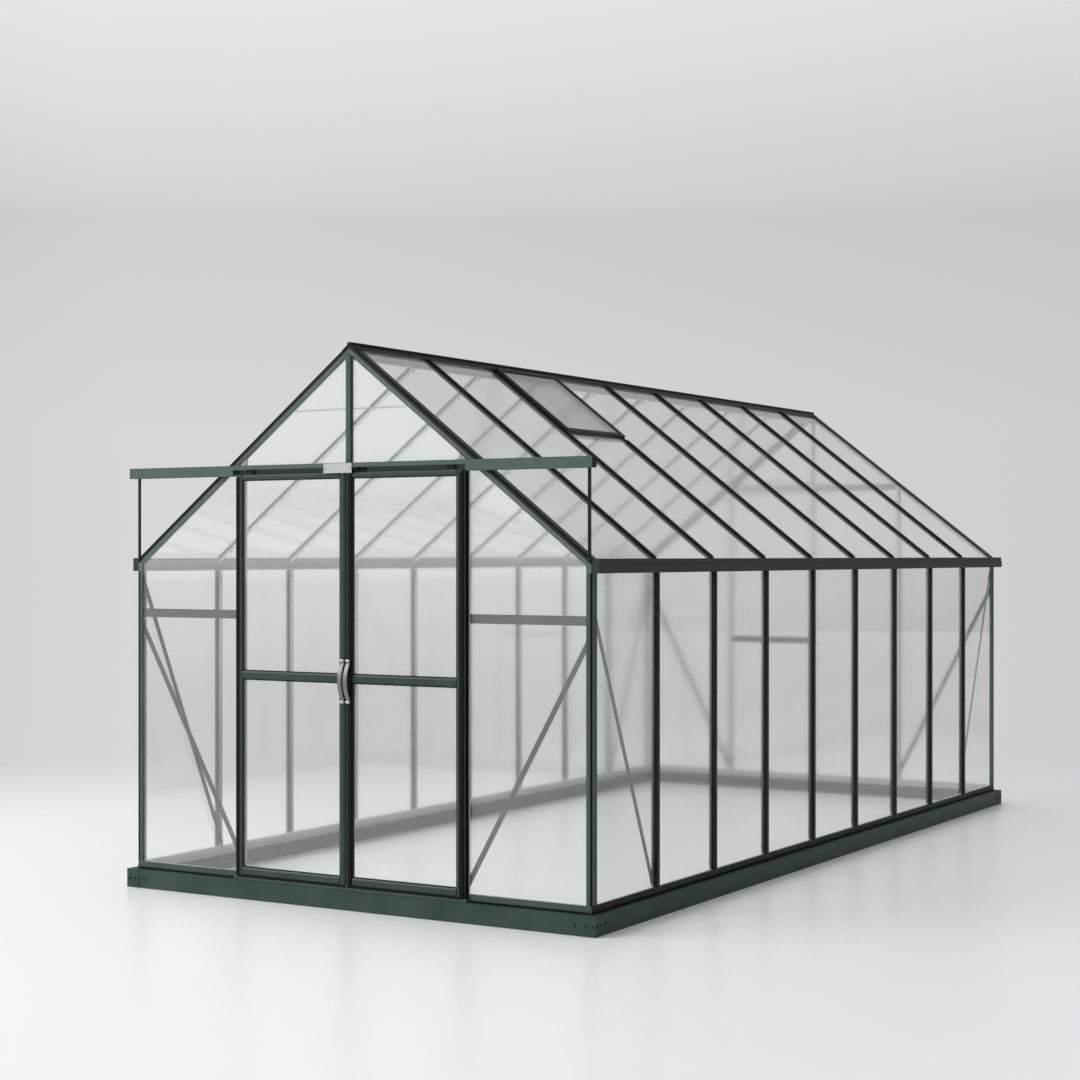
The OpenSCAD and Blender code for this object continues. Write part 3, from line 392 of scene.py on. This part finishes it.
level = put(cover_strip, "GeometryNodeSetCurveNormal", {"Curve": line.outputs[0]}, mode="Z_UP")
section = put(cover_strip, "GeometryNodeCurvePrimitiveQuadrilateral", {"Width": given["Width"],
                                                                      "Height": given["Height"]})
rounded = put(cover_strip, "GeometryNodeFilletCurve", {"Curve": section.outputs[0], "Count": 3,
                                                      "Radius": given["Rounding"]}, mode="POLY")
swept(cover_strip, level.outputs[0], rounded.outputs[0], given["Finish"], made["Strips"])
runs = []
for side in (-1, 1):
    for y in bar_lines:
        top = vent_end + vent_gap if side == 1 and y in bar_lines[1:3] else wing_end + wing_gap
        runs += [on_slope(side, down, y, cap_out + strip_high / 2) for down in (top, slope_end)]
set_out("roof_bar_strips", "greenhouse", cover_strip,
        {"Width": strip_wide, "Height": strip_high, "Rounding": strip_round, "Finish": roof_coat}, runs)
set_out("roof_bar_nuts", "greenhouse", bolt_heads, {**nut, "Finish": nut_grey}, places, ways)
runs = [on_slope(side, down, end * (half_length + groove_out), groove_out)
        for side in (-1, 1) for end in (-1, 1) for down in groove_ends]
lay_beads("rafter_beads", groove_radius, runs)

# Back gable: three upright bars from the sill to the rafters, an upper rail and one short middle rail.
# The rails are flat extrusions inside the glass, held by a nut at each end.
rafter_lap, rafter_gap, rail_face, back_bar_x = 0.034, 0.001, 0.01375, 0.620
upper_rail, upper_rail_nuts = 2.100, (-0.604, -0.020, 0.020, 0.604)
middle_rail, middle_rail_nuts = 1.051, (-0.604, -0.020)
rail_coat = coat_finish("rail_coat", (0.026, 0.032, 0.029, 1), roughness=0.40, mottle=0.12)
paint(shaded_bar_coat, "back_bars")
paint(rail_coat, "back_rails")


def gable_top(x):
    return ridge_line - abs(x) * math.tan(pitch) - rafter_lap / math.cos(pitch) - rafter_gap


runs = [(x + edge, half_length + bead_out, z) for x in (-back_bar_x, 0, back_bar_x) for edge in (-cap_half, cap_half)
        for z in (bead_ends[0], gable_top(x + edge))]
lay_beads("back_bar_beads", bead_radius, runs)
places = [(x, half_length - rail_face, upper_rail) for x in upper_rail_nuts]
places += [(x, half_length - rail_face, middle_rail) for x in middle_rail_nuts]
set_out("back_rail_nuts", "greenhouse", bolt_heads, {**nut, "Finish": nut_grey}, places,
        [(0, -1, 0)] * len(places))

# Front gable: broad door posts with black strip seals, a lintel, a bar up to the ridge and a rail across each side.
# Nuts hold the rails to the posts, and a thin grey plastic strip joins the lower and upper panes over the lintel.
gable_bar_foot, side_rail, side_rail_nuts = 2.069, 1.356, (0.645, 1.248)
post_coat = coat_finish("post_coat", (0.36, 0.38, 0.37, 1), roughness=0.40, mottle=0.10, shine=0.35)
paint(post_coat, "door_posts")
paint(frame_coat, "door_lintel", "front_gable_bar")
paint(rail_coat, "front_mid_rails")
paint(seal_rubber, "door_seals")
runs = [(edge, -half_length - bead_out, z) for edge in (-cap_half, cap_half)
        for z in (gable_bar_foot, gable_top(edge))]
lay_beads("gable_bar_beads", bead_radius, runs)
places = [(side * x, -half_length + rail_face, side_rail) for side in (-1, 1) for x in side_rail_nuts]
set_out("front_rail_nuts", "greenhouse", bolt_heads, {**nut, "Finish": bolt_coat}, places,
        [(0, 1, 0)] * len(places))


def slabs(name, body, finish, blocks, edge):
    """Blocks with rounded edges between pairs of corners, as one plain mesh."""
    work = bmesh.new()
    for low, high in blocks:
        middle = Matrix.Translation([(a + b) / 2 for a, b in zip(low, high)])
        block = bmesh.ops.create_cube(work, size=1, matrix=middle @ Matrix.Diagonal(
            [abs(b - a) for a, b in zip(low, high)] + [1]))
        edges = {line for corner in block["verts"] for line in corner.link_edges}
        bmesh.ops.bevel(work, geom=list(edges), offset=edge, segments=3, profile=0.5, affect="EDGES")
    shape = bpy.data.meshes.new(name)
    work.to_mesh(shape)
    work.free()
    shape.materials.append(finish)
    piece = bpy.data.objects.new(name, shape)
    bpy.context.scene.collection.objects.link(piece)
    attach(piece, body)


strip_plastic = plain_finish("strip_plastic", (0.40, 0.42, 0.42, 1), roughness=0.30)
lap_foot, lap_top, lap_start, lap_out, lap_round, lap_gap = 2.316, 2.323, 0.0165, 0.0018, 0.0007, 0.008
lap_end = (ridge_line - rafter_lap / math.cos(pitch) - lap_foot - lap_gap) / math.tan(pitch)
slabs("gable_pane_strips", "greenhouse", strip_plastic,
      [((side * lap_start, -half_length - lap_out, lap_foot), (side * lap_end, -half_length, lap_top))
       for side in (-1, 1)], lap_round)

# Braces: flat bars across the end bays inside the glass, which keep the walls square.
# A nut holds each end, to a bar's bead at the foot and to the corner post at the top.
brace_coat = coat_finish("brace_coat", (0.018, 0.022, 0.020, 1), roughness=0.42, shine=0.35)
brace_face, brace_foot, brace_nuts = 0.021, 0.150, (0.0, 0.985)
gable_braces, gable_brace_end = ((0.628, 1.290, -1), (back_bar_x, 1.425, 1)), 1.26375
side_brace_foot, side_brace_run, side_brace_rise = 2.1525, 0.60875, 1.360
paint(brace_coat, "wall_braces")
places, ways = [], []
for side in (-1, 1):
    for foot, top, end in gable_braces:
        for share in brace_nuts:
            places.append((side * (foot + share * (gable_brace_end - foot)), end * (half_length - brace_face),
                           brace_foot + share * (top - brace_foot)))
            ways.append((0, -end, 0))
    for end in (-1, 1):
        for share in brace_nuts:
            places.append((side * (half_width - brace_face), end * (side_brace_foot + share * side_brace_run),
                           brace_foot + share * side_brace_rise))
            ways.append((-side, 0, 0))
set_out("brace_nuts", "greenhouse", bolt_heads, {**nut, "Finish": bolt_coat}, places, ways)

# Door track: a hollow extrusion across the whole gable with a cap on each end and a bolted stay from each end.
# The doors' rollers run on its ledge, and a small bare plate with a raised rim is riveted over the middle.
# A rubber stop hangs under the band beside the plate.
# The track's coat is painted lighter than the frame's green, partly a painted highlight of the bright surroundings it
# reflects.
track_coat_with_sheen = coat_finish("track_coat_with_sheen", (0.075, 0.110, 0.096, 1), roughness=0.34, mottle=0.12)
plate_metal = plain_finish("plate_metal", (0.46, 0.47, 0.47, 1), roughness=0.40, scale=300.0, change=0.06)
plate_x, plate_z, plate_face = (-0.120, 0.040), (2.021, 2.066), -half_length - 0.044
rim_wide, rim_high, rim_round, plate_rivet_in = 0.0035, 0.0012, 0.0005, 0.011
stay_x, stay_out, stay_bolt_z = 1.268, 0.010, (1.622, 2.008)
stay_bolt = {"Across flats": 0.0085, "Head height": 0.0035, "Washer": 0.0135, "Washer height": 0.0010}
stop_low, stop_high, stop_round = (0.046, -half_length - 0.041, 2.031), (0.070, -half_length - 0.029, 2.047), 0.002
paint(track_coat_with_sheen, "door_track")
paint(shaded_bar_coat, "track_end_caps", "track_stays")
paint(plate_metal, "header_plate")
places = [(side * stay_x, -half_length - stay_out, z) for side in (-1, 1) for z in stay_bolt_z]
set_out("stay_bolts", "greenhouse", bolt_heads, {**stay_bolt, "Finish": bolt_coat}, places,
        [(0, -1, 0)] * len(places))
slabs("plate_rim", "greenhouse", plate_metal,
      [((plate_x[0], plate_face - rim_high, z), (plate_x[1], plate_face, z + rim_wide))
       for z in (plate_z[0], plate_z[1] - rim_wide)] +
      [((x, plate_face - rim_high, plate_z[0] + rim_wide), (x + rim_wide, plate_face, plate_z[1] - rim_wide))
       for x in (plate_x[0], plate_x[1] - rim_wide)], rim_round)
places = [(x, plate_face, sum(plate_z) / 2) for x in (plate_x[0] + plate_rivet_in, plate_x[1] - plate_rivet_in)]
dark_metal = plain_finish("dark_metal", (0.12, 0.12, 0.12, 1), roughness=0.35, metallic=0.8)
set_out("plate_rivets", "greenhouse", dome_heads, {**rivet, "Finish": dark_metal}, places,
        [(0, -1, 0)] * len(places))
slabs("track_stop", "greenhouse", seal_rubber, [(stop_low, stop_high)], stop_round)

# Threshold: a plate between the door posts with a channel in front of it that guides the doors' feet.
# Low screws hold the plate to the plinth.
threshold_top, screw_in, screw_places = 0.100, 0.007, (-0.540, -0.180, 0.180, 0.540)
threshold_screw = {"Head width": 0.009, "Head height": 0.0018}
paint(frame_coat, "door_threshold")
places = [(x, -half_length + screw_in, threshold_top) for x in screw_places]
set_out("threshold_screws", "greenhouse", dome_heads, {**threshold_screw, "Finish": bolt_coat}, places,
        [(0, 0, 1)] * len(places))

# Roof vent: a framed pane over the third bay of the right slope, hinged in the ridge and shown shut.
# A sill under its lower edge carries it on the two bars, and a rubber bead seals the pane in its rebate.
vent_y, vent_down, vent_bead_out, vent_radius = (-1.5105, -0.9495), (0.0670, 0.5610), 0.0190, 0.0022
paint(shaded_bar_coat, "vent_frame", "vent_sill")
runs = [on_slope(1, down, y, vent_bead_out) for down in vent_down for y in vent_y]
runs += [on_slope(1, down, y, vent_bead_out) for y in vent_y for down in vent_down]
lay_beads("vent_beads", vent_radius, runs)

# Sliding doors: two leaves of extruded stiles and rails that hang from rollers in the track.
# Nylon wheels run on the ledge, and a nylon shoe in the guide channel keeps each foot in line.
# Rubber wedges hold the panes, rubber strips cover the outer edges, a black strip on the right leaf's meeting edge is
# painted shade, and a sweep closes the foot.
roller_nylon = plain_finish("roller_nylon", (0.010, 0.012, 0.012, 1), roughness=0.45, shine=0.2)
door_coat = coat_finish("door_coat", (0.036, 0.056, 0.047, 1), roughness=0.34, splash=0.10)
light_x, lights = (0.0386, 0.6014), ((0.1536, 1.0484), (1.0916, 1.9964))
pane_outer, pane_inner = -half_length - 0.0275, -half_length - 0.0205
wedge_face, wedge_radius = -half_length - 0.0303, 0.0024
strip_face, strip_back, strip_z, edge_round = -half_length - 0.0370, -half_length - 0.0290, (0.114, 2.014), 0.003
outer_edge, shaded_meeting_edge = (0.6195, 0.6415), (0.0125, 0.0355)
sweep_x, sweep_face, sweep_back = (0.006, 0.634), -half_length - 0.0354, -half_length - 0.0332
sweep_z, sweep_round = (0.1045, 0.1140), 0.0008
for sign, side in ((-1, "left"), (1, "right")):
    body = side + "_door"
    paint(door_coat, side + "_door_stiles", side + "_door_rails")
    paint(roller_nylon, side + "_door_rollers")
    runs, wedges = [], []
    for low, high in lights:
        for face in (pane_outer, pane_inner):
            runs += [(sign * x, face, z) for x in light_x for z in (low, high)]
        wedges += [(sign * x, wedge_face, z) for z in (low, high) for x in light_x]
        runs += [(sign * x, pane_inner, z) for z in (low, high) for x in light_x]
    lay_beads(side + "_door_beads", bead_radius, runs, body)
    lay_beads(side + "_door_wedges", wedge_radius, wedges, body)
    # The black strip on the right leaf's meeting edge is painted shade, where the stile's side lies in shadow.
    slabs(side + "_door_strips", body, seal_rubber,
          [((sign * low, strip_face, strip_z[0]), (sign * high, strip_back, strip_z[1]))
           for low, high in [outer_edge] + [shaded_meeting_edge] * (side == "right")], edge_round)
    slabs(side + "_door_sweep", body, seal_rubber,
          [((sign * sweep_x[0], sweep_face, sweep_z[0]), (sign * sweep_x[1], sweep_back, sweep_z[1]))], sweep_round)

# Handles: flat chromed bows, one on each meeting stile.
# A bright rounded foot caps each end, and a screw through it holds the bow to the stile.
chromed = {"metallic": 1.0, "scale": 60.0, "change": 0.10}
# The bows' chrome is darkened as a painted reflection of darker surroundings; the feet keep a plain bright chrome.
shaded_bow_chrome = plain_finish("shaded_bow_chrome", (0.20, 0.21, 0.21, 1), roughness=0.50, **chromed)
foot_chrome = plain_finish("foot_chrome", (0.55, 0.55, 0.54, 1), roughness=0.32, **chromed)
handle_z, foot_rise, foot_half, foot_round = 1.057, 0.0960, 0.0065, 0.004
feet_z = [handle_z + end * foot_rise for end in (-1, 1)]
foot_x, foot_face, foot_back = (0.0045, 0.0275), -half_length - 0.0470, -half_length - 0.0352
foot_screw, foot_screw_x = {"Head width": 0.0055, "Head height": 0.0015}, 0.016
for sign, side in ((-1, "left"), (1, "right")):
    paint(shaded_bow_chrome, side + "_door_handle")
    slabs(side + "_handle_feet", side + "_door", foot_chrome,
          [((sign * foot_x[0], foot_face, z - foot_half), (sign * foot_x[1], foot_back, z + foot_half))
           for z in feet_z], foot_round)
    set_out(side + "_handle_screws", side + "_door", dome_heads, {**foot_screw, "Finish": dark_metal},
            [(sign * foot_screw_x, foot_face, z) for z in feet_z], [(0, -1, 0)] * len(feet_z))

# Panes: 4 mm horticultural glass in the walls, roof, gables, doors and vent, faintly green and dustier low down, with
# the vent's pane painted a darker grey as painted shade.
# The bars' caps, the tops of the sills and the doors' frames hold it.
pane_haze, given, made = start_group(
    "pane_haze", "ShaderNodeTree", [("Clear", "Color"), ("Haze", "Float")],
    [("Color", "Color"), ("Roughness", "Float")])
low_dust, high_dust, dust_tone = (0.20, 0.50), (0.95, 1.40), 0.93
pane_ior, pane_shadow = 1.5, (0.94, 0.96, 0.95, 1)
film = cloud(pane_haze, 1.6, 3.0, (1, 1, 0.5))
rise = place_on(pane_haze)["Z"]
dust = sum_up(pane_haze, "MAXIMUM", spread(pane_haze, rise, *low_dust, 1.0, dust_tone),
              spread(pane_haze, rise, *high_dust, dust_tone, 1.0))
filmed = sum_up(pane_haze, "MULTIPLY", dust, spread(pane_haze, film, *cloud_span, 0.995, 1.0))
pane_haze.links.new(toned(pane_haze, given["Clear"], filmed), made["Color"])
pane_haze.links.new(sum_up(pane_haze, "MULTIPLY", given["Haze"], spread(pane_haze, film, *cloud_span, 0.97, 1.03)),
                    made["Roughness"])


def pane_finish(name, clear, haze, milk):
    finish, tree, shader = start_finish(name)
    film = put(tree, "ShaderNodeGroup", {"Clear": clear, "Haze": haze}, node_tree=pane_haze)
    tree.links.new(film.outputs["Color"], shader.inputs["Base Color"])
    tree.links.new(film.outputs["Roughness"], shader.inputs["Roughness"])
    shader.inputs["Transmission Weight"].default_value = 1 - milk
    shader.inputs["IOR"].default_value = pane_ior
    path = put(tree, "ShaderNodeLightPath").outputs
    passing = sum_up(tree, "MAXIMUM", path["Is Shadow Ray"], path["Is Diffuse Ray"])
    through = put(tree, "ShaderNodeBsdfTransparent", {"Color": pane_shadow})
    mixed = put(tree, "ShaderNodeMixShader", {0: passing, 1: shader.outputs[0], 2: through.outputs[0]})
    tree.links.new(mixed.outputs[0], tree.nodes["Material Output"].inputs["Surface"])
    return finish


wall_pane = pane_finish("wall_pane", (0.975, 0.990, 0.983, 1), haze=0.045, milk=0.06)
# Painted shade: the vent's pane is tinted a darker grey, standing in for the darker reflection seen on it.
shaded_vent_pane = pane_finish("shaded_vent_pane", (0.68, 0.70, 0.70, 1), haze=0.12, milk=0.08)
paint(wall_pane, "left_wall_glass", "right_wall_glass", "left_roof_glass", "right_roof_glass", "front_glass",
      "back_glass", "left_door_glass", "right_door_glass")
paint(shaded_vent_pane, "vent_glass")

# Studio: a pale, slightly glossy floor that runs back to a plain pale wall under a lighter ceiling.
# One large soft lamp lights the front from the left, a long softbox stands low beside it, and a fill is on the right.
camera_at = (5.527, -10.592, 1.641)
floor_radius, floor_sides, floor_drop = 34, 96, 0.0004
floor_roughness, floor_shine, floor_tones = 0.30, 0.35, (0.98, 0.93)
floor_middle, floor_reach, wall_foot, wall_head = (1.2, -2.4, 0.0), (5.2, 8.2), 0.645, 0.595
floor_mesh = bpy.data.meshes.new("floor")
turns = [math.tau * i / floor_sides for i in range(floor_sides)]
rim = [(floor_radius * math.cos(turn), floor_radius * math.sin(turn), -floor_drop) for turn in turns]
floor_mesh.from_pydata(rim, [], [tuple(range(floor_sides))])
floor = bpy.data.objects.new("floor", floor_mesh)
bpy.context.scene.collection.objects.link(floor)
floor_finish, tree, shader = start_finish("floor_finish")
shader.inputs["Roughness"].default_value = floor_roughness
shader.inputs["Specular IOR Level"].default_value = floor_shine
spot = put(tree, "ShaderNodeTexCoord").outputs["Object"]
tone = spread(tree, put(tree, "ShaderNodeSeparateXYZ", {0: spot}).outputs["X"], -4.0, 4.0, *floor_tones)
tree.links.new(tone, shader.inputs["Base Color"])
sight = put(tree, "ShaderNodeVectorMath", {0: spot, 1: camera_at}, operation="SUBTRACT").outputs[0]
turn = put(tree, "ShaderNodeVectorMath", {0: sight}, operation="NORMALIZE").outputs[0]
left = put(tree, "ShaderNodeSeparateXYZ", {0: turn}).outputs["X"]


def wall_fall(tree, left):
    return sum_up(tree, "MULTIPLY", spread(tree, left, -0.60, -0.27, 1.05, 0.96),
                  spread(tree, left, -0.75, -0.66, 0.93, 1.0))


# Painted glow: for camera, glossy and transmission rays the far floor glows with the backdrop's colour instead of
# being lit by the lamps.
far_floor_glow = put(tree, "ShaderNodeEmission", {"Color": sum_up(tree, "MULTIPLY", wall_foot, wall_fall(tree, left))})
away = put(tree, "ShaderNodeVectorMath", {0: spot, 1: floor_middle}, operation="DISTANCE").outputs["Value"]
path = put(tree, "ShaderNodeLightPath").outputs
looking = sum_up(tree, "MAXIMUM", path["Is Camera Ray"], sum_up(
    tree, "MAXIMUM", path["Is Glossy Ray"], path["Is Transmission Ray"]))
merge = put(tree, "ShaderNodeMixShader", {
    0: sum_up(tree, "MULTIPLY", looking, spread(tree, away, *floor_reach, 0.0, 1.0)), 1: shader.outputs[0],
    2: far_floor_glow.outputs[0]})
tree.links.new(merge.outputs[0], tree.nodes["Material Output"].inputs["Surface"])
floor_mesh.materials.append(floor_finish)

wall_reach, ceiling_edge, ceiling_reach = (0.060, 0.160), (0.160, 0.168), (0.164, 0.270)
edge_step, ceiling_step = 0.025, 0.16
left_light, right_light, top_light = 1.05, 0.14, 1.0
left_gleam, right_gleam, top_gleam, front_gleam = 0.60, 0.22, 0.38, 0.30
world = bpy.data.worlds.new("studio")
world.use_nodes = True
bpy.context.scene.world = world
tree = world.node_tree
aim = put(tree, "ShaderNodeSeparateXYZ", {0: put(tree, "ShaderNodeTexCoord").outputs["Generated"]}).outputs
ceiling = sum_up(tree, "ADD", spread(tree, aim["Z"], *ceiling_edge, 0.0, edge_step),
                 spread(tree, aim["Z"], *ceiling_reach, 0.0, ceiling_step))
wall = spread(tree, aim["Z"], *wall_reach, wall_foot, wall_head)
seen = sum_up(tree, "MULTIPLY", sum_up(tree, "ADD", wall, ceiling), wall_fall(tree, aim["X"]))
cast = sum_up(tree, "MAXIMUM", spread(tree, aim["X"], -0.6, 0.4, left_light, right_light),
              spread(tree, aim["Z"], 0.50, 0.95, 0.0, top_light))
mirrored = sum_up(tree, "MINIMUM", spread(tree, aim["X"], -0.1, 0.2, left_gleam, right_gleam), sum_up(
    tree, "MINIMUM", spread(tree, aim["Z"], 0.25, 0.40, left_gleam, top_gleam),
    spread(tree, aim["Y"], -0.3, 0.0, front_gleam, left_gleam)))
path = put(tree, "ShaderNodeLightPath").outputs
shown = sum_up(tree, "MAXIMUM", path["Is Camera Ray"], path["Is Transmission Ray"])
glow = put(tree, "ShaderNodeMix", {"Factor": path["Is Glossy Ray"], 2: cast, 3: mirrored}).outputs[0]
glow = put(tree, "ShaderNodeMix", {"Factor": shown, 2: glow, 3: seen}).outputs[0]
tree.links.new(glow, tree.nodes["Background"].inputs["Color"])


def add_lamp(name, place, aim, size, power):
    lamp = bpy.data.lights.new(name, "AREA")
    lamp.shape, lamp.energy = "RECTANGLE", power
    lamp.size, lamp.size_y = size
    stand = bpy.data.objects.new(name, lamp)
    stand.location = place
    stand.rotation_euler = (Vector(aim) - Vector(place)).to_track_quat("-Z", "Y").to_euler()
    bpy.context.scene.collection.objects.link(stand)


add_lamp("key_lamp", place=(-7.0, -10.0, 8.0), aim=(0, -1.5, 1.0), size=(6.0, 6.0), power=800)
add_lamp("softbox", place=(-6.6, -11.6, 3.2), aim=(0, -2.8, 2.2), size=(8.0, 3.6), power=85)
add_lamp("fill_lamp", place=(10.0, -3.0, 7.0), aim=(0, 0, 1.0), size=(6.0, 6.0), power=30)

# Camera: held level at standing eye height, about nine metres out from the front right corner.
# A small shift of the lens sets the house in the frame, so that its upright lines stay upright.
camera_turn, sensor, lens, lens_shift = 31.629, 36.0, 68.72, (0.0556, 0.0140)
camera = bpy.data.objects.new("camera", bpy.data.cameras.new("camera"))
camera.location = camera_at
camera.rotation_euler = (math.radians(90), 0, math.radians(camera_turn))
camera.data.sensor_width, camera.data.lens = sensor, lens
camera.data.shift_x, camera.data.shift_y = lens_shift
bpy.context.scene.collection.objects.link(camera)
bpy.context.scene.camera = camera
bpy.context.scene.view_settings.view_transform = "Standard"
